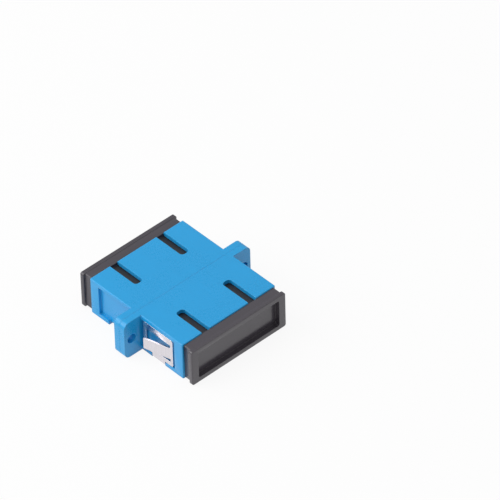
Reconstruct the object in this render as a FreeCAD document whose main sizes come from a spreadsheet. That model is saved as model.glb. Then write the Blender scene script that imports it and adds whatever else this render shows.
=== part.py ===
import FreeCAD, Part
import math
import os
import re
import Sketcher

# Duplex SC fibre adapter with flange, panel clip and dust caps.
#
# The fibres run along X and the flange's parting plane is X = 0. Y runs across the two ports, and Z is up
# from the underside, with the keyways on top. Every size is in millimetres.

SIZES = {
    # Housing, overall
    "body_length": 27.7,
    "body_width": 25.5,
    "body_height": 9.3,
    "body_edge_round": 0.25,
    # Flange and its screw holes
    "flange_thickness": 3.0,
    "flange_corner_round": 1.4,
    "flange_rim_bevel": 0.08,
    "screw_hole": 2.2,
    "screw_from_body": 2.6,
    "ear_beyond_screw": 1.95,
    # Ports
    "port_pitch": 12.7,
    "port_width": 9.0,
    "port_height": 7.4,
    "mouth_bevel": 0.2,
    "keyway_width": 2.1,
    "keyway_length": 7.95,
    "keyway_end_round": 0.8,
    # Room inside for the hooks, and the seat that grips the sleeve holders
    "hook_room_width": 10.3,
    "hook_room_depth": 8.2,
    "seat_side_clearance": 0.05,
    # Pegs and sockets that line the two halves up before they are welded
    "peg_diameter": 1.0,
    "peg_length": 0.6,
    "peg_clearance": 0.05,
    "peg_from_middle": 13.0,
    "peg_from_underside": 2.2,
    # Recess for the clip's strap across the underside, and a pocket for its leg on each narrow side
    "clip_inset": 0.02,
    "strap_recess_from_flange": 3.0,
    "strap_side_clearance": 0.1,
    "strap_recess_lip_round": 0.35,
    "leg_pocket_depth": 0.65,
    "leg_pocket_from_top": 0.95,
    "leg_pocket_from_underside": 1.05,
    "leg_pocket_corner_round": 0.3,
    # Panel clip, folded from one strip of spring steel
    "clip_sheet": 0.35,
    "strap_width": 3.8,
    "fold_inner_round": 0.1,
    "fold_corner_gap": 0.1,
    "leg_clearance": 0.1,
    "leg_end_clearance": 0.51,
    "leg_length": 8.68,
    "leg_corner_round": 0.5,
    "window_side_bar": 0.72,
    "window_free_bar": 1.55,
    "window_fold_bar": 1.0,
    "window_corner_round": 0.3,
    "tongue_gap": 0.8,
    "tongue_reach": 6.21,
    "tongue_lift": 1.71,
    "tongue_taper": 0.1,
    # Sleeve holders, two back to back in each port
    "holder_plate_width": 11.1,
    "holder_plate_thickness": 1.5,
    "holder_height_clearance": 0.05,
    "barrel_diameter": 4.3,
    "barrel_reach": 6.7,
    "barrel_round": 0.2,
    "sleeve_room": 0.05,
    "sleeve_end_play": 0.05,
    "barrel_entry": 2.9,
    "barrel_entry_bevel": 0.35,
    "hook_spacing": 7.0,
    "hook_thickness": 0.8,
    "hook_height": 3.2,
    "hook_reach": 7.6,
    "hook_barb": 0.6,
    "hook_barb_land": 0.3,
    "hook_barb_back": 0.25,
    "hook_ramp": 0.8,
    "hook_root_round": 0.25,
    # Split sleeves
    "sleeve_bore": 2.5,
    "sleeve_wall": 0.35,
    "sleeve_length": 11.4,
    "sleeve_slit": 0.5,
    "sleeve_end_bevel": 0.1,
    # Dust caps
    "collar_side_inset": 0.45,
    "collar_top_inset": 0.3,
    "collar_length": 1.9,
    "collar_edge_round": 0.2,
    "lip_side_overhang": 0.1,
    "lip_top_inset": 0.15,
    "lip_thickness": 1.0,
    "lip_corner_round": 0.5,
    "lip_edge_round": 0.15,
    "lip_back_bevel": 0.1,
    "face_recess_depth": 1.15,
    "face_side_border": 1.8,
    "face_top_border": 1.15,
    "face_corner_round": 0.4,
    "plug_clearance": 0.1,
    "plug_wall": 0.8,
    "plug_depth": 8.4,
    "plug_web": 0.9,
    "plug_tip_bevel": 0.3,
    "plug_hook_slot_height": 4.2,
    "plug_hook_clearance": 0.3,
    # How far a cut's outline runs past the solid that it cuts
    "cut_overrun": 1.0,
}

# Lengths that differ by less than this count as equal.
TINY = 1e-4

# Formulas that several pieces share. Bare words in a formula are the sizes above.
HALF_BODY = "(body_length / 2)"
HALF_WIDTH = "(body_width / 2)"
HALF_FLANGE = "(flange_thickness / 2)"
HALF_SCREW_PITCH = "(body_width / 2 + screw_from_body)"
HALF_PITCH = "(port_pitch / 2)"
MID_HEIGHT = "(body_height / 2)"
SEAT_WIDTH = "(holder_plate_width + 2 * seat_side_clearance)"
RECESS_DEPTH = "(clip_sheet + clip_inset)"
RECESS_START = "(flange_thickness / 2 + strap_recess_from_flange)"
RECESS_END = f"({RECESS_START} + strap_width + 2 * strap_side_clearance)"
STRAP_MIDDLE = f"({RECESS_START} + strap_side_clearance + strap_width / 2)"
POCKET_END = f"({STRAP_MIDDLE} + leg_length / 2 + leg_end_clearance)"
POCKET_TOP = "(body_height - leg_pocket_from_top)"
POCKET_FLOOR = "(body_width / 2 - leg_pocket_depth)"

document = FreeCAD.newDocument("sc_fibre_adapter")


def make_sheet():
    """Put every driving size into the document's spreadsheet, under its own name."""
    sheet = document.addObject("Spreadsheet::Sheet", "Sizes")
    for row, (name, value) in enumerate(SIZES.items(), 1):
        sheet.set(f"A{row}", name)
        sheet.set(f"B{row}", str(value))
        sheet.setAlias(f"B{row}", name)
    document.recompute()


def bound(formula):
    """Point each size named in a formula at its cell in the spreadsheet."""
    return re.sub(r"[a-z]\w+", lambda word: "Sizes." + word.group(), formula)


def new_body(label):
    body = document.addObject("PartDesign::Body", label)
    body.Label = label
    return body


def new_sketch(body, name, plane, offset="0"):
    """Start a sketch on one of the body's own origin planes, moved along the plane's normal."""
    sketch = body.newObject("Sketcher::SketchObject", name)
    support = next(item for item in body.Origin.OriginFeatures if item.Role == plane + "_Plane")
    sketch.AttachmentSupport = [(support, "")]
    sketch.MapMode = "FlatFace"
    sketch.setExpression("AttachmentOffset.Base.z", bound(offset))
    return sketch


def hold_point(sketch, element, point, across, up):
    """Hold a point of the sketch at two formulas, measured from the sketch's origin."""
    for direction, formula in (("DistanceX", across), ("DistanceY", up)):
        number = sketch.addConstraint(Sketcher.Constraint(direction, -1, 1, element, point, 1.0))
        sketch.setExpression(f"Constraints[{number}]", bound(formula))


def draw_outline(sketch, corners):
    """Draw a closed outline of straight lines, each corner held at its own two formulas."""
    count = len(corners)
    first = sketch.GeometryCount
    turn = 2 * math.pi / count
    ring = [FreeCAD.Vector(math.cos(turn * step), math.sin(turn * step), 0) for step in range(count)]
    for step in range(count):
        sketch.addGeometry(Part.LineSegment(ring[step], ring[(step + 1) % count]))
    for step, (across, up) in enumerate(corners):
        line = first + step
        following = first + (step + 1) % count
        sketch.addConstraint(Sketcher.Constraint("Coincident", line, 2, following, 1))
        hold_point(sketch, line, 1, across, up)


def draw_box(sketch, left, right, low, high):
    draw_outline(sketch, [(left, low), (right, low), (right, high), (left, high)])


def draw_centred_box(sketch, across, up, width, height):
    """Draw a rectangle of a given width and height about a middle point."""
    left = f"{across} - ({width}) / 2"
    right = f"{across} + ({width}) / 2"
    low = f"{up} - ({height}) / 2"
    high = f"{up} + ({height}) / 2"
    draw_box(sketch, left, right, low, high)


def draw_circle(sketch, across, up, diameter):
    number = sketch.addGeometry(Part.Circle(FreeCAD.Vector(1, 1, 0), FreeCAD.Vector(0, 0, 1), 1))
    hold_point(sketch, number, 3, across, up)
    size = sketch.addConstraint(Sketcher.Constraint("Diameter", number, 2.0))
    sketch.setExpression(f"Constraints[{size}]", bound(diameter))


def extrude(kind, body, name, sketch, length, reverse=False, symmetric=False):
    feature = body.newObject("PartDesign::" + kind, name)
    feature.Profile = sketch
    feature.setExpression("Length", bound(length))
    feature.Reversed = reverse
    if symmetric:
        feature.SideType = "Symmetric"
    sketch.Visibility = False
    document.recompute()
    return feature


def add(body, name, sketch, length, **options):
    return extrude("Pad", body, name, sketch, length, **options)


def cut(body, name, sketch, length, **options):
    """Cut a sketch out of the body, and stop if it took nothing away."""
    before = body.Shape.Volume
    feature = extrude("Pocket", body, name, sketch, length, **options)
    if before - body.Shape.Volume < TINY:
        raise RuntimeError(body.Label + ": " + name + " cuts nothing")
    return feature


def turned(kind, body, name, sketch):
    """Revolve a sketch all the way round the body's X axis."""
    feature = body.newObject("PartDesign::" + kind, name)
    feature.Profile = sketch
    axis = next(item for item in body.Origin.OriginFeatures if item.Role == "X_Axis")
    feature.ReferenceAxis = (axis, [""])
    feature.Angle = 360
    sketch.Visibility = False
    document.recompute()
    return feature


def mirrored(body, name, features):
    """Repeat features on the other side of the body's XZ plane."""
    mirror = body.newObject("PartDesign::Mirrored", name)
    mirror.Originals = features
    plane = next(item for item in body.Origin.OriginFeatures if item.Role == "XZ_Plane")
    mirror.MirrorPlane = (plane, [""])
    body.Tip = mirror
    document.recompute()
    return mirror


def soften(kind, body, name, size, wanted):
    """Fillet or chamfer the edges of the body's tip that answer to wanted."""
    tip = body.Tip
    edges = [f"Edge{number}" for number, edge in enumerate(tip.Shape.Edges, 1) if wanted(edge)]
    if not edges:
        raise RuntimeError(body.Label + ": " + name + " finds no edge")
    feature = body.newObject("PartDesign::" + kind, name)
    feature.Base = (tip, edges)
    feature.setExpression("Radius" if kind == "Fillet" else "Size", bound(size))
    document.recompute()
    if feature.Shape.isNull():
        raise RuntimeError(body.Label + ": " + name + " can't be made")
    return feature


def near(value, target):
    return abs(value - target) < TINY


def runs_along(edge, axis):
    """Tell whether an edge is straight and parallel to the axis named x, y or z."""
    box = edge.BoundBox
    spans = {"x": box.XLength, "y": box.YLength, "z": box.ZLength}
    return all(length < TINY for name, length in spans.items() if name != axis)


def strap_middle():
    """Work out where the middle of the clip's strap lies along X."""
    recess_start = SIZES["flange_thickness"] / 2 + SIZES["strap_recess_from_flange"]
    return recess_start + SIZES["strap_side_clearance"] + SIZES["strap_width"] / 2


def housing_half(label, turn):
    """One moulded half: half of the flange, two ports with keyways, and the clip's recess and pockets."""
    body = new_body(label)
    half_width = SIZES["body_width"] / 2
    half_flange = SIZES["flange_thickness"] / 2
    end = SIZES["body_length"] / 2
    port_side = (SIZES["port_pitch"] + SIZES["port_width"]) / 2
    floor = half_width - SIZES["leg_pocket_depth"]

    flange = new_sketch(body, "flange_outline", "YZ")
    draw_centred_box(flange, "0", MID_HEIGHT, f"2 * ({HALF_SCREW_PITCH} + ear_beyond_screw)", "body_height")
    add(body, "flange", flange, HALF_FLANGE)
    soften("Fillet", body, "flange_corners", "flange_corner_round", lambda edge: runs_along(edge, "x"))
    soften("Chamfer", body, "flange_rim", "flange_rim_bevel", lambda edge: near(edge.BoundBox.XMax, 0))

    shell = new_sketch(body, "body_outline", "YZ", HALF_FLANGE)
    draw_centred_box(shell, "0", MID_HEIGHT, "body_width", "body_height")
    add(body, "body", shell, f"{HALF_BODY} - {HALF_FLANGE}")

    def on_outside_of_body(edge):
        box = edge.BoundBox
        along_corner = runs_along(edge, "x") and near(abs(box.YMin), half_width) and box.XMax > half_flange
        return near(box.XMin, end) or along_corner

    soften("Fillet", body, "body_edges", "body_edge_round", on_outside_of_body)

    mouths = new_sketch(body, "port_outlines", "YZ")
    rooms = new_sketch(body, "hook_room_outlines", "YZ")
    seats = new_sketch(body, "seat_outlines", "YZ")
    for side in ("-", ""):
        draw_centred_box(mouths, side + HALF_PITCH, MID_HEIGHT, "port_width", "port_height")
        draw_centred_box(rooms, side + HALF_PITCH, MID_HEIGHT, "hook_room_width", "port_height")
        draw_centred_box(seats, side + HALF_PITCH, MID_HEIGHT, SEAT_WIDTH, "port_height")
    cut(body, "ports", mouths, HALF_BODY, reverse=True)
    soften("Chamfer", body, "port_mouths", "mouth_bevel", lambda edge: near(edge.BoundBox.XMin, end)
           and edge.BoundBox.YMax < port_side + TINY and edge.BoundBox.YMin > -port_side - TINY)
    cut(body, "hook_rooms", rooms, "hook_room_depth", reverse=True)
    cut(body, "seats", seats, "holder_plate_thickness", reverse=True)

    keyways = new_sketch(body, "keyway_outlines", "XY", "body_height")
    for side in ("-", ""):
        low = f"{side}{HALF_PITCH} - keyway_width / 2"
        high = f"{side}{HALF_PITCH} + keyway_width / 2"
        draw_box(keyways, f"{HALF_BODY} - keyway_length", f"{HALF_BODY} + cut_overrun", low, high)
    cut(body, "keyways", keyways, MID_HEIGHT)
    soften("Fillet", body, "keyway_ends", "keyway_end_round", lambda edge: runs_along(edge, "z")
           and near(edge.BoundBox.XMin, end - SIZES["keyway_length"]))

    holes = new_sketch(body, "screw_hole_circles", "YZ")
    for side in ("-", ""):
        draw_circle(holes, side + HALF_SCREW_PITCH, MID_HEIGHT, "screw_hole")
    cut(body, "screw_holes", holes, HALF_FLANGE, reverse=True)

    sockets = new_sketch(body, "socket_circle", "YZ")
    draw_circle(sockets, "-peg_from_middle", "peg_from_underside", "peg_diameter + 2 * peg_clearance")
    cut(body, "socket", sockets, "peg_length + peg_clearance", reverse=True)
    pegs = new_sketch(body, "peg_circle", "YZ")
    draw_circle(pegs, "peg_from_middle", "peg_from_underside", "peg_diameter")
    add(body, "peg", pegs, "peg_length", reverse=True)

    recess = new_sketch(body, "strap_recess_outline", "XY")
    draw_box(recess, RECESS_START, RECESS_END, "-body_width", "body_width")
    cut(body, "strap_recess", recess, RECESS_DEPTH, reverse=True)

    pocket = new_sketch(body, "leg_pocket_outline", "XZ", HALF_WIDTH)
    draw_outline(pocket, [
        (HALF_FLANGE, "leg_pocket_from_underside"), (RECESS_START, "leg_pocket_from_underside"),
        (RECESS_START, "-cut_overrun"), (RECESS_END, "-cut_overrun"),
        (RECESS_END, "leg_pocket_from_underside"), (POCKET_END, "leg_pocket_from_underside"),
        (POCKET_END, POCKET_TOP), (HALF_FLANGE, POCKET_TOP),
    ])
    leg_pocket = cut(body, "leg_pocket", pocket, "leg_pocket_depth")
    mirrored(body, "leg_pockets", [leg_pocket])

    pocket_end = strap_middle() + SIZES["leg_length"] / 2 + SIZES["leg_end_clearance"]
    recess_end = strap_middle() + SIZES["strap_width"] / 2 + SIZES["strap_side_clearance"]
    low = SIZES["leg_pocket_from_underside"]

    def at_pocket_corner(edge, along):
        box = edge.BoundBox
        in_side_wall = runs_along(edge, "y") and abs(box.Center.y) > floor
        return in_side_wall and near(box.ZMin, low) and near(box.XMin, along)

    soften("Fillet", body, "pocket_corners", "leg_pocket_corner_round",
           lambda edge: at_pocket_corner(edge, pocket_end))
    soften("Fillet", body, "recess_lips", "strap_recess_lip_round",
           lambda edge: at_pocket_corner(edge, recess_end))
    soften("Fillet", body, "strap_corners", "fold_inner_round + fold_corner_gap",
           lambda edge: runs_along(edge, "x") and near(abs(edge.BoundBox.YMin), floor)
           and near(edge.BoundBox.ZMin, SIZES["clip_sheet"] + SIZES["clip_inset"]))
    turn_about_z = FreeCAD.Rotation(FreeCAD.Vector(0, 0, 1), turn)
    body.Placement = FreeCAD.Placement(FreeCAD.Vector(0, 0, 0), turn_about_z)
    return body


def mounting_clip():
    """One folded strip: a strap under the body, and each side a leg with a sprung tongue in its window."""
    body = new_body("mounting_clip")
    leg_inner = f"({HALF_WIDTH} - {RECESS_DEPTH})"
    leg_outer = f"({HALF_WIDTH} - clip_inset)"
    leg_low = "(leg_pocket_from_underside + leg_clearance)"
    leg_top = f"({POCKET_TOP} - leg_clearance)"
    leg_start = f"({STRAP_MIDDLE} - leg_length / 2)"
    leg_end = f"({STRAP_MIDDLE} + leg_length / 2)"
    window_start = f"({leg_start} + window_side_bar)"
    window_end = f"({leg_end} - window_side_bar)"
    window_low = f"({leg_low} + window_fold_bar)"
    window_top = f"({leg_top} - window_free_bar)"
    tongue_low = f"({window_low} + tongue_gap)"
    tongue_top = f"({window_top} - tongue_gap)"
    tongue_tip = f"({window_end} - tongue_reach)"

    strap = new_sketch(body, "strap_profile", "YZ", f"{RECESS_START} + strap_side_clearance")
    neck_top = f"{leg_low} + window_fold_bar / 2"
    draw_outline(strap, [
        (f"-{leg_outer}", "clip_inset"), (leg_outer, "clip_inset"), (leg_outer, neck_top),
        (leg_inner, neck_top), (leg_inner, RECESS_DEPTH), (f"-{leg_inner}", RECESS_DEPTH),
        (f"-{leg_inner}", neck_top), (f"-{leg_outer}", neck_top),
    ])
    add(body, "strap", strap, "strap_width")
    soften("Fillet", body, "outer_folds", "fold_inner_round + clip_sheet",
           lambda edge: runs_along(edge, "x") and near(edge.BoundBox.ZMin, SIZES["clip_inset"]))
    soften("Fillet", body, "inner_folds", "fold_inner_round", lambda edge: runs_along(edge, "x")
           and near(edge.BoundBox.ZMin, SIZES["clip_sheet"] + SIZES["clip_inset"]))

    leg = new_sketch(body, "leg_outline", "XZ", leg_inner)
    draw_box(leg, leg_start, leg_end, leg_low, leg_top)
    draw_box(leg, window_start, window_end, window_low, window_top)
    leg_plate = add(body, "leg", leg, "clip_sheet")

    tongue = new_sketch(body, "tongue_strip", "XY", f"({tongue_low} + {tongue_top}) / 2")
    draw_outline(tongue, [
        (f"{window_end} + window_side_bar / 2", f"-{leg_inner}"), (window_end, f"-{leg_inner}"),
        (tongue_tip, f"-{leg_inner} - tongue_lift"), (tongue_tip, f"-{leg_outer} - tongue_lift"),
        (window_end, f"-{leg_outer}"), (f"{window_end} + window_side_bar / 2", f"-{leg_outer}"),
    ])
    strip = add(body, "tongue", tongue, f"{tongue_top} - {tongue_low}", symmetric=True)

    taper = new_sketch(body, "tongue_taper_outline", "XZ", f"{leg_inner} - clip_sheet")
    past_tip = f"{tongue_tip} - clip_sheet"
    draw_outline(taper, [(window_end, tongue_top), (past_tip, f"{tongue_top} - tongue_taper"),
                         (past_tip, f"{tongue_top} + tongue_gap / 2")])
    draw_outline(taper, [(window_end, tongue_low), (past_tip, f"{tongue_low} - tongue_gap / 2"),
                         (past_tip, f"{tongue_low} + tongue_taper")])
    sides = cut(body, "tongue_sides", taper, "tongue_lift + 3 * clip_sheet", reverse=True)
    mirrored(body, "both_legs", [leg_plate, strip, sides])

    plate_low = SIZES["leg_pocket_from_underside"] + SIZES["leg_clearance"]
    plate_top = SIZES["body_height"] - SIZES["leg_pocket_from_top"] - SIZES["leg_clearance"]
    plate_start = strap_middle() - SIZES["leg_length"] / 2
    plate_end = strap_middle() + SIZES["leg_length"] / 2
    hole_start = plate_start + SIZES["window_side_bar"]
    hole_low = plate_low + SIZES["window_fold_bar"]
    hole_top = plate_top - SIZES["window_free_bar"]

    def at_plate_corner(edge):
        box = edge.BoundBox
        return runs_along(edge, "y") and (near(box.ZMin, plate_low) or near(box.ZMin, plate_top)) and (
            near(box.XMin, plate_start) or near(box.XMin, plate_end))

    def at_window_corner(edge):
        box = edge.BoundBox
        at_height = near(box.ZMin, hole_low) or near(box.ZMin, hole_top)
        return runs_along(edge, "y") and at_height and near(box.XMin, hole_start)

    soften("Fillet", body, "leg_corners", "leg_corner_round", at_plate_corner)
    soften("Fillet", body, "window_corners", "window_corner_round", at_window_corner)
    return body


def sleeve_holder(label, side, turn):
    """A seat plate with half of the sleeve's barrel and the two hooks that grip a plug."""
    body = new_body(label)

    plate = new_sketch(body, "plate_outline", "YZ")
    draw_centred_box(plate, "0", "0", "holder_plate_width", "port_height - 2 * holder_height_clearance")
    add(body, "plate", plate, "holder_plate_thickness")

    barrel = new_sketch(body, "barrel_profile", "XZ")
    draw_outline(barrel, [
        ("0", "0"), ("barrel_reach", "0"), ("barrel_reach", "barrel_diameter / 2 - barrel_round"),
        ("barrel_reach - barrel_round", "barrel_diameter / 2"), ("0", "barrel_diameter / 2"),
    ])
    turned("Revolution", body, "barrel", barrel)

    bore = new_sketch(body, "bore_profile", "XZ")
    room_end = "sleeve_length / 2 + sleeve_end_play"
    room_radius = "(sleeve_bore / 2 + sleeve_wall + sleeve_room)"
    draw_outline(bore, [
        ("-cut_overrun", "0"), ("barrel_reach + cut_overrun", "0"),
        ("barrel_reach + cut_overrun", "barrel_entry / 2 + barrel_entry_bevel"),
        ("barrel_reach", "barrel_entry / 2 + barrel_entry_bevel"),
        ("barrel_reach - barrel_entry_bevel", "barrel_entry / 2"), (room_end, "barrel_entry / 2"),
        (room_end, room_radius), ("-cut_overrun", room_radius),
    ])
    turned("Groove", body, "bore", bore)

    hook = new_sketch(body, "hook_profile", "XY")
    inner = "(hook_spacing / 2)"
    outer = "(hook_spacing / 2 + hook_thickness)"
    barb = f"({inner} - hook_barb)"
    tip_inner = f"({outer} - hook_thickness / 2)"
    draw_outline(hook, [
        ("holder_plate_thickness / 2", inner),
        ("hook_reach - hook_ramp - hook_barb_land - hook_barb_back", inner),
        ("hook_reach - hook_ramp - hook_barb_land", barb), ("hook_reach - hook_ramp", barb),
        ("hook_reach", tip_inner), ("hook_reach", outer), ("holder_plate_thickness / 2", outer),
    ])
    arm = add(body, "hook", hook, "hook_height", symmetric=True)
    mirrored(body, "both_hooks", [arm])

    inner_face = SIZES["hook_spacing"] / 2
    outer_face = inner_face + SIZES["hook_thickness"]
    soften("Fillet", body, "hook_roots", "hook_root_round", lambda edge: runs_along(edge, "z")
           and near(edge.BoundBox.XMin, SIZES["holder_plate_thickness"])
           and (near(abs(edge.BoundBox.YMin), inner_face) or near(abs(edge.BoundBox.YMin), outer_face)))
    turn_about_z = FreeCAD.Rotation(FreeCAD.Vector(0, 0, 1), turn)
    body.Placement = FreeCAD.Placement(FreeCAD.Vector(0, 0, 0), turn_about_z)
    body.setExpression("Placement.Base.y", bound(side + HALF_PITCH))
    body.setExpression("Placement.Base.z", bound(MID_HEIGHT))
    return body


def split_sleeve(label, side):
    """A slit tube that holds two ferrules end to end, its slit towards the keyway."""
    body = new_body(label)
    ring = new_sketch(body, "sleeve_circles", "YZ")
    draw_circle(ring, "0", "0", "sleeve_bore + 2 * sleeve_wall")
    draw_circle(ring, "0", "0", "sleeve_bore")
    add(body, "tube", ring, "sleeve_length", symmetric=True)
    reach = SIZES["sleeve_length"] / 2
    soften("Chamfer", body, "sleeve_ends", "sleeve_end_bevel",
           lambda edge: near(abs(edge.BoundBox.XMin), reach) and near(edge.BoundBox.XLength, 0)
           and edge.BoundBox.YLength > SIZES["sleeve_bore"])
    slit = new_sketch(body, "slit_outline", "XZ")
    draw_box(slit, "-sleeve_length", "sleeve_length", "0", "sleeve_bore")
    cut(body, "slit", slit, "sleeve_slit", symmetric=True)
    body.setExpression("Placement.Base.y", bound(side + HALF_PITCH))
    body.setExpression("Placement.Base.z", bound(MID_HEIGHT))
    return body


def dust_cap(label, turn):
    """A collar and lip with a recessed face, and a hollow plug for each port, slotted for the hooks."""
    body = new_body(label)
    lip_width = "(body_width + 2 * lip_side_overhang)"
    lip_height = "(body_height - 2 * lip_top_inset)"
    plug_width = "(port_width - 2 * plug_clearance)"
    plug_height = "(port_height - 2 * plug_clearance)"
    outer_face = f"({HALF_BODY} + collar_length + lip_thickness)"
    web_inner = f"({outer_face} - face_recess_depth - plug_web)"
    plug_tip = f"({HALF_BODY} - plug_depth)"

    collar = new_sketch(body, "collar_outline", "YZ", HALF_BODY)
    draw_centred_box(collar, "0", MID_HEIGHT, "body_width - 2 * collar_side_inset",
                     "body_height - 2 * collar_top_inset")
    add(body, "collar", collar, "collar_length")
    soften("Fillet", body, "collar_edges", "collar_edge_round", lambda edge: runs_along(edge, "x"))
    lip = new_sketch(body, "lip_outline", "YZ", f"{HALF_BODY} + collar_length")
    draw_centred_box(lip, "0", MID_HEIGHT, lip_width, lip_height)
    add(body, "lip", lip, "lip_thickness")

    lip_back = SIZES["body_length"] / 2 + SIZES["collar_length"]
    lip_side = SIZES["body_width"] / 2 + SIZES["lip_side_overhang"]
    soften("Fillet", body, "lip_corners", "lip_corner_round", lambda edge: runs_along(edge, "x")
           and near(abs(edge.BoundBox.YMin), lip_side))
    face = lip_back + SIZES["lip_thickness"]
    soften("Fillet", body, "lip_edges", "lip_edge_round", lambda edge: near(edge.BoundBox.XMin, face))
    soften("Chamfer", body, "lip_back_edges", "lip_back_bevel",
           lambda edge: near(edge.BoundBox.XMin, lip_back) and near(edge.BoundBox.XLength, 0)
           and on_lip_rim(edge))

    recess = new_sketch(body, "face_recess_outline", "YZ", outer_face)
    draw_centred_box(recess, "0", MID_HEIGHT, f"{lip_width} - 2 * face_side_border",
                     f"{lip_height} - 2 * face_top_border")
    cut(body, "face_recess", recess, "face_recess_depth")
    recess_side = lip_side - SIZES["face_side_border"]
    soften("Fillet", body, "recess_corners", "face_corner_round", lambda edge: runs_along(edge, "x")
           and near(abs(edge.BoundBox.YMin), recess_side) and near(edge.BoundBox.XMax, face))

    plugs = new_sketch(body, "plug_outlines", "YZ", HALF_BODY)
    for side in ("-", ""):
        draw_centred_box(plugs, side + HALF_PITCH, MID_HEIGHT, plug_width, plug_height)
    add(body, "plugs", plugs, "plug_depth", reverse=True)
    tip = SIZES["body_length"] / 2 - SIZES["plug_depth"]
    soften("Chamfer", body, "plug_tips", "plug_tip_bevel", lambda edge: near(edge.BoundBox.XMax, tip))

    hollows = new_sketch(body, "hollow_outlines", "YZ", plug_tip)
    for side in ("-", ""):
        draw_centred_box(hollows, side + HALF_PITCH, MID_HEIGHT, f"{plug_width} - 2 * plug_wall",
                         f"{plug_height} - 2 * plug_wall")
    cut(body, "hollows", hollows, f"{web_inner} - {plug_tip}", reverse=True)

    slots = new_sketch(body, "hook_slot_outline", "XZ")
    draw_box(slots, f"{plug_tip} - cut_overrun", "hook_reach + plug_hook_clearance",
             f"{MID_HEIGHT} - plug_hook_slot_height / 2", f"{MID_HEIGHT} + plug_hook_slot_height / 2")
    cut(body, "hook_slots", slots, "body_width", symmetric=True)
    turn_about_z = FreeCAD.Rotation(FreeCAD.Vector(0, 0, 1), turn)
    body.Placement = FreeCAD.Placement(FreeCAD.Vector(0, 0, 0), turn_about_z)
    return body


def on_lip_rim(edge):
    """Tell whether an edge lies on the lip's outer rim and not on the collar's."""
    box = edge.BoundBox
    middle = SIZES["body_height"] / 2
    collar_side = SIZES["body_width"] / 2 - SIZES["collar_side_inset"]
    collar_top = middle - SIZES["collar_top_inset"]
    return abs(box.Center.y) > collar_side + TINY or abs(box.Center.z - middle) > collar_top + TINY


def write_steps(pieces):
    """Check every piece, and write each to its own STEP file under its label."""
    os.makedirs("parts", exist_ok=True)
    for item in document.Objects:
        if "Invalid" in item.State or "Error" in item.State:
            raise RuntimeError(item.Name + " failed to recompute")
    for piece in pieces:
        if piece.Shape.isNull() or not piece.Shape.isValid() or len(piece.Shape.Solids) != 1:
            raise RuntimeError(piece.Label + " isn't one valid solid")
        piece.Shape.exportStep("parts/" + piece.Label + ".step")


make_sheet()
adapter = [
    housing_half("right_housing_half", 0),
    housing_half("left_housing_half", 180),
    mounting_clip(),
    sleeve_holder("near_right_sleeve_holder", "-", 0),
    sleeve_holder("near_left_sleeve_holder", "-", 180),
    sleeve_holder("far_right_sleeve_holder", "", 0),
    sleeve_holder("far_left_sleeve_holder", "", 180),
    split_sleeve("near_split_sleeve", "-"),
    split_sleeve("far_split_sleeve", ""),
    dust_cap("right_dust_cap", 0),
    dust_cap("left_dust_cap", 180),
]
document.recompute()
write_steps(adapter)
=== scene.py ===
"""Looks of a duplex SC fibre adapter: housing, panel clip, sleeves, holders, dust caps and a small studio."""

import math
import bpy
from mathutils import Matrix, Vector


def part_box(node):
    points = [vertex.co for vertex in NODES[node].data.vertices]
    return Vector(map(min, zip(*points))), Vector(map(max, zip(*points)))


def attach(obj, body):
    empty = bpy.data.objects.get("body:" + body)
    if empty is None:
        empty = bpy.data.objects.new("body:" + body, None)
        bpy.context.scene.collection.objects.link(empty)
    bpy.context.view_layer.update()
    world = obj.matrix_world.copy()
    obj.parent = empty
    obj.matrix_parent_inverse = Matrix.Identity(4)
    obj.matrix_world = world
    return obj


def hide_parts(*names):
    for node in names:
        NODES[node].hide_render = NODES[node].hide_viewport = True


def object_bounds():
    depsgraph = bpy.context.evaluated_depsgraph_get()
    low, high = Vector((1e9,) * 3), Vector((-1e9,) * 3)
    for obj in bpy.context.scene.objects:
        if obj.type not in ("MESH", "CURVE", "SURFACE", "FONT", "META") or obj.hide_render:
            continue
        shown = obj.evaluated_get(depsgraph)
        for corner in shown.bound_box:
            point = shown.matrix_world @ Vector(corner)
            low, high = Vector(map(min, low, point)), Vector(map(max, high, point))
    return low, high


bl_info = {
    "name": "Duplex SC fibre adapter",
    "version": (1, 0, 0),
    "blender": (4, 5, 0),
    "location": "3D View > Sidebar > Adapter",
    "description": "Finishes the adapter's pieces and sets up a small studio round them",
    "category": "Object",
}

import bmesh
import bpy
from bpy.props import FloatProperty, FloatVectorProperty, PointerProperty
from mathutils import Matrix, Vector

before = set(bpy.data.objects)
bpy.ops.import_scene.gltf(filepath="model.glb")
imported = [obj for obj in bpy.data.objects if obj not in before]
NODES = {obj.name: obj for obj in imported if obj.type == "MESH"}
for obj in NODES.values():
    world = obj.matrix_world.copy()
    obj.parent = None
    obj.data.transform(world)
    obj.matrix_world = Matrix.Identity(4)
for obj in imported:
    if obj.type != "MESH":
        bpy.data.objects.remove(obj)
CAD_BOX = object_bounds()

MM = 0.001

# Taken from the frame: the sleeves, and the flange with the body's end
SLEEVE_BOXES = {"near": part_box("near_split_sleeve"), "far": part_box("far_split_sleeve")}
SLEEVE_LENGTH = SLEEVE_BOXES["near"][1].x - SLEEVE_BOXES["near"][0].x
SLEEVE_DIAMETER = SLEEVE_BOXES["near"][1].y - SLEEVE_BOXES["near"][0].y
FLANGE_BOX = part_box("right_housing_half")
FLANGE_ROUND = 1.4 * MM
BODY_END = FLANGE_BOX[1].x

# How the pieces' meshes are cleaned and their edges found, and the start of the bead's random swelling
SAME_POINT = 1e-4 * MM
SAME_FACE = math.radians(0.2)
SMOOTH_BELOW = math.radians(35)
BROKEN_ABOVE = math.radians(40)
BEAD_SEED = 7

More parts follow.
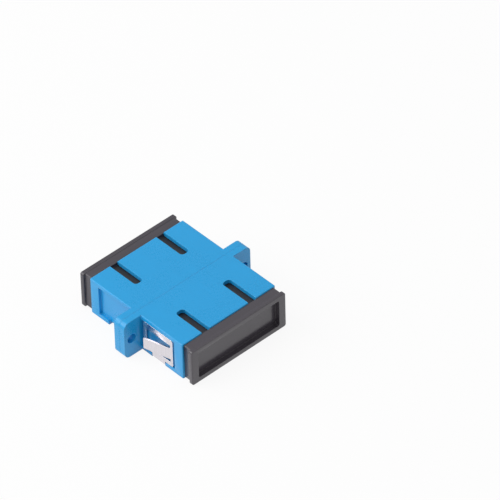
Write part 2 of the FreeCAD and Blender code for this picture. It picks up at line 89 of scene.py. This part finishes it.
# Studio: places in metres, turns in degrees
CAMERA_PLACE = (0.62114, -0.54005, 0.76086)
CAMERA_TURN = (47.8993, 1.1100, 47.0292)
KEY_PLACE = (-0.38, -0.46, 0.43)
KEY_SIZE = 0.75
OVERHEAD_PLACE = (0.0, 0.0, 1.0)
OVERHEAD_SIZE = 1.2
FLOOR_REACH = 3.0
FLOOR_BELOW = 0.02 * MM
FLOOR_WHITENESS = 0.90
SKY_WHITENESS = 0.40


# ---------------------------------------------------------------------------------------------------------
# Shader and geometry trees


class Wire:
    """An output socket that takes part in sums: an expression on wires adds the Math nodes it needs."""

    def __init__(self, board, socket):
        self.board = board
        self.socket = socket

    def maths(self, operation, *others, swap=False):
        terms = [self, *others]
        if swap:
            terms.reverse()
        return self.board.node("ShaderNodeMath", dict(enumerate(terms)), operation=operation)

    def __add__(self, other):
        return self.maths("ADD", other)

    def __sub__(self, other):
        return self.maths("SUBTRACT", other)

    def __mul__(self, other):
        return self.maths("MULTIPLY", other)

    def __truediv__(self, other):
        return self.maths("DIVIDE", other)

    def __rsub__(self, other):
        return self.maths("SUBTRACT", other, swap=True)

    def __rtruediv__(self, other):
        return self.maths("DIVIDE", other, swap=True)

    __radd__ = __add__
    __rmul__ = __mul__


class Board:
    """A node tree under construction."""

    def __init__(self, tree):
        self.tree = tree
        tree.nodes.clear()

    def node(self, kind, inputs=None, output=0, **settings):
        """Add a node: its settings first, then its inputs by name or number, each a value or a Wire."""
        made = self.tree.nodes.new(kind)
        for name, value in settings.items():
            setattr(made, name, value)
        for key, value in (inputs or {}).items():
            socket = made.inputs[key]
            if isinstance(value, Wire):
                self.tree.links.new(value.socket, socket)
            else:
                socket.default_value = value
        return Wire(self, made.outputs[output]) if made.outputs else made


class Finish(Board):
    """A material's node tree, with the patterns that several finishes share.

    Every edge is shaded as if it were rounded by the given radius. Patterns lie in millimetres.
    """

    def __init__(self, name, edge):
        self.material = bpy.data.materials.new(name)
        self.material.use_nodes = True
        super().__init__(self.material.node_tree)
        self.place = self.node("ShaderNodeTexCoord", output="Object")
        self.rounded = self.node("ShaderNodeBevel", {"Radius": edge}, samples=6)

    def stretched(self, x=1.0, y=1.0, z=1.0):
        """Object coordinates in millimetres, stretched along each axis."""
        scale = (x / MM, y / MM, z / MM)
        return self.node("ShaderNodeMapping", {"Vector": self.place, "Scale": scale})

    def noise(self, place, per_mm, detail=3.0, roughness=0.55):
        """Noise from 0 to 1, with about per_mm lumps to the millimetre."""
        return self.node("ShaderNodeTexNoise", {"Vector": place, "Scale": per_mm, "Detail": detail,
                                                "Roughness": roughness}, output="Fac")

    def between(self, mask, low, high):
        """Turn a mask from 0 to 1 into a number from low to high."""
        return self.node("ShaderNodeMapRange", {"Value": mask, "To Min": low, "To Max": high})

    def step(self, mask, start, end):
        """Ramp a mask from 0 at start to 1 at end."""
        return self.node("ShaderNodeMapRange", {"Value": mask, "From Min": start, "From Max": end},
                         interpolation_type="SMOOTHSTEP")

    def paint(self, mask, under, over):
        """Mix two colours by a mask."""
        return self.node("ShaderNodeMix", {0: mask, 6: under, 7: over}, output=2, data_type="RGBA")

    def edges(self):
        """A mask that is 1 on sharp edges and 0 on flat faces."""
        true = self.node("ShaderNodeNewGeometry", output="Normal")
        alike = self.node("ShaderNodeVectorMath", {0: self.rounded, 1: true}, output="Value",
                          operation="DOT_PRODUCT")
        return self.step(1.0 - alike, 0.0, 0.12)

    def bump(self, height, distance, strength):
        """Raise a pattern on the surface, whose edges are already rounded."""
        return self.node("ShaderNodeBump", {"Height": height, "Distance": distance, "Strength": strength,
                                            "Normal": self.rounded})

    def finish(self, **inputs):
        """End the tree in a Principled BSDF; a name's underscores stand for spaces."""
        named = {key.replace("_", " "): value for key, value in inputs.items()}
        shader = self.node("ShaderNodeBsdfPrincipled", named)
        self.node("ShaderNodeOutputMaterial", {"Surface": shader})
        return self.material


def rgba(colour, lift=1.0):
    """A colour setting as a socket takes it, lifted or darkened by a factor."""
    return (*(min(1.0, channel * lift) for channel in colour[:3]), 1.0)


def blue_plastic(look):
    """Moulded blue plastic: even pigment, a fine tool texture, glossier rubbed edges painted lighter, partly
    as wear and partly as a painted highlight.
    """
    board = Finish("blue_plastic_finish", look.edge_wear_and_highlight)
    place = board.stretched()
    clouds = board.noise(place, 0.12, detail=2.0)
    grain = board.noise(place, 5.0, detail=5.0, roughness=0.6)
    flow = board.noise(board.stretched(x=0.08, y=0.9, z=0.9), 1.0, detail=3.0)
    edges = board.edges()
    shade = clouds * 0.6 + flow * 0.4
    pigment = board.paint(shade, rgba(look.blue, 0.93), rgba(look.blue, 1.06))
    # Lighter colour along every edge, convex or hollow: partly rubbed wear, partly a painted highlight
    worn_and_highlit = board.paint(edges * (0.25 + grain * 0.35), pigment, rgba(look.blue_rubbed_and_highlit))
    roughness = board.between(clouds * 0.5 + grain * 0.5, 0.22, 0.34) - edges * 0.04
    bump = board.bump(grain + flow * 0.3, 0.010 * MM, 0.4)
    return board.finish(Base_Color=worn_and_highlit, Roughness=roughness, Normal=bump, IOR=1.5)


def black_plastic(look):
    """Moulded black plastic of the dust caps: charcoal, satin, paler along its edges as wear and as a painted
    highlight, and painted darker and duller on the plugs as painted shade in the ports.
    """
    board = Finish("black_plastic_finish", look.edge_wear_and_highlight)
    place = board.stretched()
    clouds = board.noise(place, 0.18, detail=3.0)
    grain = board.noise(place, 5.0, detail=5.0, roughness=0.65)
    scuffs = board.noise(board.stretched(x=2.5, y=0.12, z=1.6), 1.4, detail=5.0, roughness=0.7)
    edges = board.edges()
    pigment = board.paint(clouds, rgba(look.black, 0.85), rgba(look.black, 1.15))
    scuffed = board.paint(board.step(scuffs, 0.60, 0.78) * 0.25, pigment, rgba(look.black_rubbed_and_highlit))
    # Paler colour along every edge: partly rubbed wear, partly a painted highlight
    worn_and_highlit = board.paint(edges * (0.3 + grain * 0.5), scuffed, rgba(look.black_rubbed_and_highlit))
    # The plugs inside the ports get a much darker colour: painted shade for the dark ports, plus a rougher
    # surface
    from_middle = board.node("ShaderNodeSeparateXYZ", {0: place}, output="X").maths("ABSOLUTE")
    plugs = 1.0 - board.step(from_middle, BODY_END / MM - 0.2, BODY_END / MM)
    with_painted_port_shade = board.paint(plugs, worn_and_highlit, rgba(look.black, 0.15))
    roughness = board.between(grain * 0.6 + clouds * 0.4, 0.16, 0.28) + plugs * 0.35
    bump = board.bump(grain, 0.014 * MM, 0.5)
    return board.finish(Base_Color=with_painted_port_shade, Roughness=roughness, Normal=bump, IOR=1.60)


def spring_steel(look):
    """Rolled spring steel strip: fine lines along the strip, with duller sheared edges painted lighter,
    partly as wear and partly as a painted highlight.
    """
    board = Finish("spring_steel_finish", look.edge_wear_and_highlight * 0.6)
    lines = board.noise(board.stretched(x=12.0, y=0.2, z=0.2), 1.0, detail=4.0, roughness=0.6)
    stains = board.noise(board.stretched(), 0.3, detail=2.0)
    edges = board.edges()
    sheet = board.paint(stains, rgba(look.steel, 0.92), rgba(look.steel, 1.05))
    lined = board.paint(board.step(lines, 0.35, 0.75) * 0.35, sheet, rgba(look.steel, 0.80))
    # Lighter colour along every edge: partly wear, partly a painted highlight
    worn_and_highlit = board.paint(edges * 0.5, lined, rgba(look.steel, 1.12))
    roughness = board.between(lines * 0.5 + stains * 0.5, 0.20, 0.30) + edges * 0.05
    bump = board.bump(lines, 0.002 * MM, 0.3)
    return board.finish(Base_Color=worn_and_highlit, Metallic=1.0, Roughness=roughness, Normal=bump)


def white_plastic(look):
    """Moulded white plastic of the sleeve holders: milky and satin."""
    board = Finish("white_plastic_finish", look.edge_wear_and_highlight * 0.8)
    place = board.stretched()
    clouds = board.noise(place, 0.4, detail=3.0)
    grain = board.noise(place, 12.0, detail=3.0)
    edges = board.edges()
    pigment = board.paint(clouds, rgba(look.white, 0.95), rgba(look.white, 1.03))
    # Lighter colour along every edge: partly wear, partly a painted highlight
    worn_and_highlit = board.paint(edges * 0.3, pigment, rgba(look.white, 1.12))
    roughness = board.between(grain * 0.5 + clouds * 0.5, 0.36, 0.54)
    bump = board.bump(grain, 0.01 * MM, 0.5)
    return board.finish(Base_Color=worn_and_highlit, Roughness=roughness, Normal=bump, IOR=1.5)


def zirconia(look):
    """Ground and polished white ceramic: glossy, with faint rings left by grinding."""
    board = Finish("zirconia_finish", look.edge_wear_and_highlight * 0.5)
    rings = board.noise(board.stretched(x=16.0, y=0.3, z=0.3), 1.0, detail=4.0)
    clouds = board.noise(board.stretched(), 0.8, detail=2.0)
    edges = board.edges()
    pigment = board.paint(clouds, rgba(look.ceramic, 0.96), rgba(look.ceramic, 1.02))
    # Lighter colour along every edge: partly wear, partly a painted highlight
    worn_and_highlit = board.paint(edges * 0.3, pigment, rgba(look.ceramic, 1.1))
    roughness = board.between(rings, 0.10, 0.22)
    bump = board.bump(rings, 0.003 * MM, 0.4)
    return board.finish(Base_Color=worn_and_highlit, Roughness=roughness, Normal=bump, IOR=2.1)


FINISHES = {
    "blue_plastic": blue_plastic,
    "black_plastic": black_plastic,
    "spring_steel": spring_steel,
    "white_plastic": white_plastic,
    "zirconia": zirconia,
}


def finish_of(slot):
    """The material for one of the record's slots, made when it is first asked for."""
    ready = bpy.data.materials.get(slot + "_finish")
    return ready or FINISHES[slot](bpy.context.scene.adapter_look)


def coat(node, slot):
    """Give a CAD node's own slots the finish named for it."""
    for place in NODES[node].material_slots:
        place.material = finish_of(slot)


# ---------------------------------------------------------------------------------------------------------
# Pieces


def clean_copy(node, name, slot):
    """Copy a CAD node's mesh, merge its loose triangles and clear the diagonals off its flat faces."""
    mesh = bpy.data.meshes.new(name)
    form = bmesh.new()
    form.from_mesh(NODES[node].data)
    bmesh.ops.remove_doubles(form, verts=form.verts, dist=SAME_POINT)
    bmesh.ops.dissolve_limit(form, angle_limit=SAME_FACE, verts=form.verts, edges=form.edges)
    bmesh.ops.recalc_face_normals(form, faces=form.faces)
    form.to_mesh(mesh)
    form.free()
    mesh.materials.append(finish_of(slot))
    piece = bpy.data.objects.new(name, mesh)
    bpy.context.scene.collection.objects.link(piece)
    return piece


def break_edges(piece, width):
    """Take the sharpness off every hard edge of a piece."""
    bevel = piece.modifiers.new("broken_edges", "BEVEL")
    bevel.width = width
    bevel.segments = 2
    bevel.limit_method = "ANGLE"
    bevel.angle_limit = BROKEN_ABOVE
    bevel.harden_normals = True
    for face in piece.data.polygons:
        face.use_smooth = True
    piece.data.set_sharp_from_angle(angle=SMOOTH_BELOW)


def settle(piece):
    """Turn a piece's modifiers into plain mesh."""
    view = bpy.context.evaluated_depsgraph_get()
    mesh = bpy.data.meshes.new_from_object(piece.evaluated_get(view), depsgraph=view)
    mesh.name = piece.name
    piece.modifiers.clear()
    piece.data = mesh
    return piece


def stand_for(piece, node, body):
    """Put a piece in a CAD node's place on one of the bodies."""
    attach(piece, body)
    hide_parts(node)


def refine(node, body, slot, width):
    """Replace a CAD node by a copy of it with its edges broken."""
    piece = clean_copy(node, node + "_finished", slot)
    break_edges(piece, width)
    settle(piece)
    stand_for(piece, node, body)


class Form(Board):
    """A geometry node tree with named inputs for its sizes and its material."""

    def __init__(self, name, numbers, counts=()):
        tree = bpy.data.node_groups.new(name, "GeometryNodeTree")
        kinds = {**dict.fromkeys(numbers, "Float"), **dict.fromkeys(counts, "Int"), "Material": "Material"}
        for label, kind in kinds.items():
            tree.interface.new_socket(label, in_out="INPUT", socket_type="NodeSocket" + kind)
        tree.interface.new_socket("Geometry", in_out="OUTPUT", socket_type="NodeSocketGeometry")
        super().__init__(tree)
        given = tree.nodes.new("NodeGroupInput")
        self.size = {socket.name: Wire(self, socket) for socket in given.outputs}

    def finish(self, form):
        """End the tree in plain geometry that carries the material."""
        real = self.node("GeometryNodeRealizeInstances", {"Geometry": form})
        coated = self.node("GeometryNodeSetMaterial", {"Geometry": real, "Material": self.size["Material"]})
        self.node("NodeGroupOutput", {0: coated})
        return self.tree


def split_sleeve_tree():
    """Geometry nodes that sweep a sleeve's wall round its axis and leave the slit open."""
    board = Form("split_sleeve", ("Outer Diameter", "Wall", "Length", "Slit", "End Round"))
    size = board.size
    radius = (size["Outer Diameter"] - size["Wall"]) * 0.5
    half_slit = (size["Slit"] * 0.5 / radius).maths("ARCSINE")
    path = board.node("GeometryNodeCurveArc", {"Resolution": 97, "Radius": radius,
                      "Start Angle": half_slit, "Sweep Angle": math.tau - half_slit * 2.0})
    wall = board.node("GeometryNodeCurvePrimitiveQuadrilateral",
                      {"Width": size["Wall"], "Height": size["Length"]})
    rounded = board.node("GeometryNodeFilletCurve", {"Curve": wall, "Radius": size["End Round"],
                         "Count": 3}, mode="POLY")
    tube = board.node("GeometryNodeCurveToMesh", {"Curve": path, "Profile Curve": rounded, "Fill Caps": True})
    return board.finish(tube)


def weld_bead_tree():
    """Geometry nodes that lay a bead of melted plastic all round the flange, along its parting line."""
    board = Form("weld_bead", ("Width", "Height", "Corner Round", "Bead", "Unevenness"), counts=("Seed",))
    size = board.size
    outline = board.node("GeometryNodeCurvePrimitiveQuadrilateral",
                         {"Width": size["Width"], "Height": size["Height"]})
    rounded = board.node("GeometryNodeFilletCurve", {"Curve": outline, "Radius": size["Corner Round"],
                         "Count": 8, "Limit Radius": True}, mode="POLY")
    fine = board.node("GeometryNodeResampleCurve", {"Curve": rounded, "Count": 600})
    swell = board.node("FunctionNodeRandomValue", {2: 1.0 - size["Unevenness"], 3: 1.0,
                       "Seed": size["Seed"]}, output=1, data_type="FLOAT")
    uneven = board.node("GeometryNodeSetCurveRadius", {"Curve": fine, "Radius": swell})
    section = board.node("GeometryNodeCurvePrimitiveCircle", {"Resolution": 8, "Radius": size["Bead"] * 0.5})
    bead = board.node("GeometryNodeCurveToMesh", {"Curve": uneven, "Profile Curve": section})
    return board.finish(board.node("GeometryNodeSetShadeSmooth", {"Geometry": bead}))


def grow(name, tree, values):
    """Run a geometry tree with its named inputs set, and return the result as a plain mesh object."""
    piece = bpy.data.objects.new(name, bpy.data.meshes.new(name))
    bpy.context.scene.collection.objects.link(piece)
    modifier = piece.modifiers.new(name, "NODES")
    modifier.node_group = tree
    for socket in tree.interface.items_tree:
        if socket.in_out == "INPUT":
            modifier[socket.identifier] = values[socket.name]
    return settle(piece)


# ---------------------------------------------------------------------------------------------------------
# Settings


class AdapterLook(bpy.types.PropertyGroup):
    """Colours and edge wear of the adapter's finishes."""

    blue: FloatVectorProperty(name="Blue", description="Housing plastic", subtype="COLOR", size=3, min=0,
                              max=1, default=(0.012, 0.345, 0.720))
    # Lighter blue for the edges: partly rubbed plastic, partly a painted highlight
    blue_rubbed_and_highlit: FloatVectorProperty(name="Rubbed blue", description="Housing plastic along its edges",
                                     subtype="COLOR", size=3, min=0, max=1, default=(0.10, 0.46, 0.80))
    black: FloatVectorProperty(name="Black", description="Dust cap plastic", subtype="COLOR", size=3, min=0,
                               max=1, default=(0.056, 0.049, 0.062))
    # Paler black for scuffs and edges: real rubbing, and on the edges also a painted highlight
    black_rubbed_and_highlit: FloatVectorProperty(name="Rubbed black", description="Dust cap plastic along its edges",
                                      subtype="COLOR", size=3, min=0, max=1, default=(0.10, 0.095, 0.10))
    steel: FloatVectorProperty(name="Steel", description="Clip steel", subtype="COLOR", size=3, min=0, max=1,
                               default=(0.77, 0.735, 0.775))
    white: FloatVectorProperty(name="White", description="Sleeve holder plastic", subtype="COLOR", size=3,
                               min=0, max=1, default=(0.78, 0.79, 0.77))
    ceramic: FloatVectorProperty(name="Ceramic", description="Split sleeve zirconia", subtype="COLOR",
                                 size=3, min=0, max=1, default=(0.86, 0.86, 0.82))
    # Width of the edge band: rounded shading plus a lighter colour that is partly wear, partly a painted
    # highlight
    edge_wear_and_highlight: FloatProperty(name="Edge wear", description="Width of the rubbed band along edges",
                             unit="LENGTH", min=0, default=0.12 * MM)


class AdapterSizes(bpy.types.PropertyGroup):
    """Sizes of the details that the finishing adds."""

    plastic_edge: FloatProperty(name="Housing edge", description="Round on the housing's moulded edges",
                                unit="LENGTH", min=0, default=0.07 * MM)
    cap_edge: FloatProperty(name="Cap edge", description="Round on the dust caps' moulded edges",
                            unit="LENGTH", min=0, default=0.02 * MM)
    steel_edge: FloatProperty(name="Steel edge", description="Round on sheared edges", unit="LENGTH",
                              min=0, default=0.03 * MM)
    sleeve_slit: FloatProperty(name="Sleeve slit", description="Width of the sleeves' slit", unit="LENGTH",
                               min=0, default=0.5 * MM)
    sleeve_wall: FloatProperty(name="Sleeve wall", description="Thickness of the sleeves' wall",
                               unit="LENGTH", min=0, default=0.35 * MM)
    sleeve_end: FloatProperty(name="Sleeve end", description="Round on the sleeves' ends", unit="LENGTH",
                              min=0, default=0.08 * MM)
    bead: FloatProperty(name="Weld bead", description="Width of the bead along the parting line",
                        unit="LENGTH", min=0, default=0.15 * MM)
    bead_depth: FloatProperty(name="Bead depth", description="How far the bead lies below the flange's rim",
                              unit="LENGTH", min=0, default=0.005 * MM)
    bead_unevenness: FloatProperty(name="Bead unevenness", description="How much thinner the bead gets",
                                   subtype="FACTOR", min=0, max=1, default=0.2)


class AdapterStudio(bpy.types.PropertyGroup):
    """Light and camera."""

    key: FloatProperty(name="Key light", description="Power of the large soft lamp", unit="POWER", min=0,
                       default=3.6)
    overhead: FloatProperty(name="Overhead light", description="Power of the lamp straight above",
                            unit="POWER", min=0, default=3.3)
    sky: FloatProperty(name="Sky", description="Strength of the even light from all round", min=0,
                       default=0.42)
    lens: FloatProperty(name="Lens", description="Focal length in millimetres", min=1, default=397.0)


# ---------------------------------------------------------------------------------------------------------
# Studio


def make_floor():
    """Lay a pale floor that takes the adapter's shadow and is clear from below."""
    level = CAD_BOX[0].z - FLOOR_BELOW
    corners = [(x * FLOOR_REACH, y * FLOOR_REACH, level) for x, y in ((-1, -1), (1, -1), (1, 1), (-1, 1))]
    mesh = bpy.data.meshes.new("floor")
    mesh.from_pydata(corners, [], [(0, 1, 2, 3)])
    floor = bpy.data.objects.new("floor", mesh)
    bpy.context.scene.collection.objects.link(floor)
    material = bpy.data.materials.new("pale_floor")
    material.use_nodes = True
    board = Board(material.node_tree)
    matte = board.node("ShaderNodeBsdfDiffuse", {"Color": (0.88, 0.88, 0.88, 1)})
    white = board.node("ShaderNodeEmission", {"Color": (1, 1, 1, 1), "Strength": 1.0})
    seen = board.node("ShaderNodeLightPath", output="Is Camera Ray")
    mirrored = board.node("ShaderNodeLightPath", output="Is Glossy Ray")
    share = (seen + mirrored) * FLOOR_WHITENESS
    pale = board.node("ShaderNodeMixShader", {0: share, 1: matte, 2: white})
    from_below = board.node("ShaderNodeNewGeometry", output="Backfacing")
    clear = board.node("ShaderNodeBsdfTransparent", {"Color": (1, 1, 1, 1)})
    one_way = board.node("ShaderNodeMixShader", {0: from_below, 1: pale, 2: clear})
    board.node("ShaderNodeOutputMaterial", {"Surface": one_way})
    mesh.materials.append(material)


def make_light(studio):
    """Light the adapter from all round, from one side and from above."""
    world = bpy.data.worlds.new("studio")
    world.use_nodes = True
    board = Board(world.node_tree)
    sky = board.node("ShaderNodeBackground", {"Color": (1, 1, 1, 1), "Strength": studio.sky})
    white = board.node("ShaderNodeBackground", {"Color": (1, 1, 1, 1), "Strength": 1.0})
    seen = board.node("ShaderNodeLightPath", output="Is Camera Ray")
    mirrored = board.node("ShaderNodeLightPath", output="Is Glossy Ray")
    share = seen + mirrored * SKY_WHITENESS
    mixed = board.node("ShaderNodeMixShader", {0: share, 1: sky, 2: white})
    board.node("ShaderNodeOutputWorld", {"Surface": mixed})
    bpy.context.scene.world = world
    hang_lamp("key", studio.key, KEY_SIZE, KEY_PLACE)
    hang_lamp("overhead", studio.overhead, OVERHEAD_SIZE, OVERHEAD_PLACE)


def hang_lamp(name, power, size, place):
    """Hang a round soft lamp that faces the adapter."""
    lamp = bpy.data.lights.new(name, "AREA")
    lamp.shape = "DISK"
    lamp.size = size
    lamp.energy = power
    hung = bpy.data.objects.new(name, lamp)
    hung.location = Vector(place)
    hung.rotation_euler = (-hung.location).to_track_quat("-Z", "Y").to_euler()
    bpy.context.scene.collection.objects.link(hung)


def make_camera(studio):
    """Aim a long lens at the adapter from above its right near corner."""
    lens = bpy.data.cameras.new("camera")
    lens.lens = studio.lens
    lens.sensor_width = 36.0
    lens.clip_start = 0.05
    camera = bpy.data.objects.new("camera", lens)
    camera.location = CAMERA_PLACE
    camera.rotation_euler = [math.radians(turn) for turn in CAMERA_TURN]
    bpy.context.scene.collection.objects.link(camera)
    bpy.context.scene.camera = camera


# ---------------------------------------------------------------------------------------------------------
# Operators


class ADAPTER_OT_housing(bpy.types.Operator):
    """Finish the two moulded halves of the housing"""

    bl_idname = "adapter.housing"
    bl_label = "Housing halves"

    def execute(self, context):
        for half in ("right_housing_half", "left_housing_half"):
            refine(half, "adapter", "blue_plastic", context.scene.adapter_sizes.plastic_edge)
        return {"FINISHED"}


class ADAPTER_OT_bead(bpy.types.Operator):
    """Lay the weld bead along the parting line"""

    bl_idname = "adapter.bead"
    bl_label = "Weld bead"

    def execute(self, context):
        sizes = context.scene.adapter_sizes
        low, high = FLANGE_BOX
        sunk = sizes.bead / 2 + sizes.bead_depth
        bead = grow("weld_bead", weld_bead_tree(), {
            "Width": high.y - low.y - 2 * sunk, "Height": high.z - low.z - 2 * sunk,
            "Corner Round": FLANGE_ROUND - sunk, "Bead": sizes.bead, "Unevenness": sizes.bead_unevenness,
            "Seed": BEAD_SEED, "Material": finish_of("blue_plastic"),
        })
        middle = Vector((0, (low.y + high.y) / 2, (low.z + high.z) / 2))
        across_fibres = Matrix(((0, 0, 1), (1, 0, 0), (0, 1, 0)))
        bead.data.transform(Matrix.Translation(middle) @ across_fibres.to_4x4())
        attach(bead, "adapter")
        return {"FINISHED"}


class ADAPTER_OT_clip(bpy.types.Operator):
    """Finish the folded panel clip"""

    bl_idname = "adapter.clip"
    bl_label = "Panel clip"

    def execute(self, context):
        refine("mounting_clip", "adapter", "spring_steel", context.scene.adapter_sizes.steel_edge)
        return {"FINISHED"}


class ADAPTER_OT_holders(bpy.types.Operator):
    """Finish the four sleeve holders"""

    bl_idname = "adapter.holders"
    bl_label = "Sleeve holders"

    def execute(self, context):
        for row in ("near", "far"):
            for end in ("right", "left"):
                coat(f"{row}_{end}_sleeve_holder", "white_plastic")
        return {"FINISHED"}


class ADAPTER_OT_sleeves(bpy.types.Operator):
    """Make the two split sleeves"""

    bl_idname = "adapter.sleeves"
    bl_label = "Split sleeves"

    def execute(self, context):
        sizes = context.scene.adapter_sizes
        tree = split_sleeve_tree()
        for row, (low, high) in SLEEVE_BOXES.items():
            sleeve = grow(row + "_split_sleeve_finished", tree, {
                "Outer Diameter": SLEEVE_DIAMETER, "Wall": sizes.sleeve_wall, "Length": SLEEVE_LENGTH,
                "Slit": sizes.sleeve_slit, "End Round": sizes.sleeve_end, "Material": finish_of("zirconia"),
            })
            middle = Vector(((low.x + high.x) / 2, (low.y + high.y) / 2, low.z + SLEEVE_DIAMETER / 2))
            # Swapping two axes lays the sleeve along X with its slit up, and turns its faces inside out
            slit_up = Matrix(((0, 0, 1), (0, 1, 0), (1, 0, 0)))
            sleeve.data.transform(Matrix.Translation(middle) @ slit_up.to_4x4())
            sleeve.data.flip_normals()
            stand_for(sleeve, row + "_split_sleeve", "adapter")
        return {"FINISHED"}


class ADAPTER_OT_caps(bpy.types.Operator):
    """Finish the two dust caps"""

    bl_idname = "adapter.caps"
    bl_label = "Dust caps"

    def execute(self, context):
        for end in ("right", "left"):
            refine(end + "_dust_cap", end + "_cap", "black_plastic", context.scene.adapter_sizes.cap_edge)
        return {"FINISHED"}


class ADAPTER_OT_stage(bpy.types.Operator):
    """Set up the floor, the lamps and the camera"""

    bl_idname = "adapter.stage"
    bl_label = "Studio"

    def execute(self, context):
        studio = context.scene.adapter_studio
        make_floor()
        make_light(studio)
        make_camera(studio)
        context.scene.view_settings.view_transform = "Standard"
        return {"FINISHED"}


# ---------------------------------------------------------------------------------------------------------
# Sidebar and start


class ADAPTER_PT_panel(bpy.types.Panel):
    """Settings and steps of the fibre adapter"""

    bl_label = "Fibre adapter"
    bl_space_type = "VIEW_3D"
    bl_region_type = "UI"
    bl_category = "Adapter"

    def draw(self, context):
        for group in GROUPS:
            settings = getattr(context.scene, group)
            for name in settings.__annotations__:
                self.layout.prop(settings, name)
        for step in STEPS:
            self.layout.operator(step.bl_idname)


STEPS = (
    ADAPTER_OT_housing,
    ADAPTER_OT_bead,
    ADAPTER_OT_clip,
    ADAPTER_OT_holders,
    ADAPTER_OT_sleeves,
    ADAPTER_OT_caps,
    ADAPTER_OT_stage,
)
GROUPS = {
    "adapter_look": AdapterLook,
    "adapter_sizes": AdapterSizes,
    "adapter_studio": AdapterStudio,
}


def register():
    for name, group in GROUPS.items():
        bpy.utils.register_class(group)
        setattr(bpy.types.Scene, name, PointerProperty(type=group))
    for step in STEPS:
        bpy.utils.register_class(step)
    bpy.utils.register_class(ADAPTER_PT_panel)


def unregister():
    bpy.utils.unregister_class(ADAPTER_PT_panel)
    for step in reversed(STEPS):
        bpy.utils.unregister_class(step)
    for name, group in GROUPS.items():
        delattr(bpy.types.Scene, name)
        bpy.utils.unregister_class(group)


def main():
    register()
    bpy.ops.adapter.housing()
    bpy.ops.adapter.bead()
    bpy.ops.adapter.clip()
    bpy.ops.adapter.holders()
    bpy.ops.adapter.sleeves()
    bpy.ops.adapter.caps()
    bpy.ops.adapter.stage()


if __name__ == "__main__":
    main()
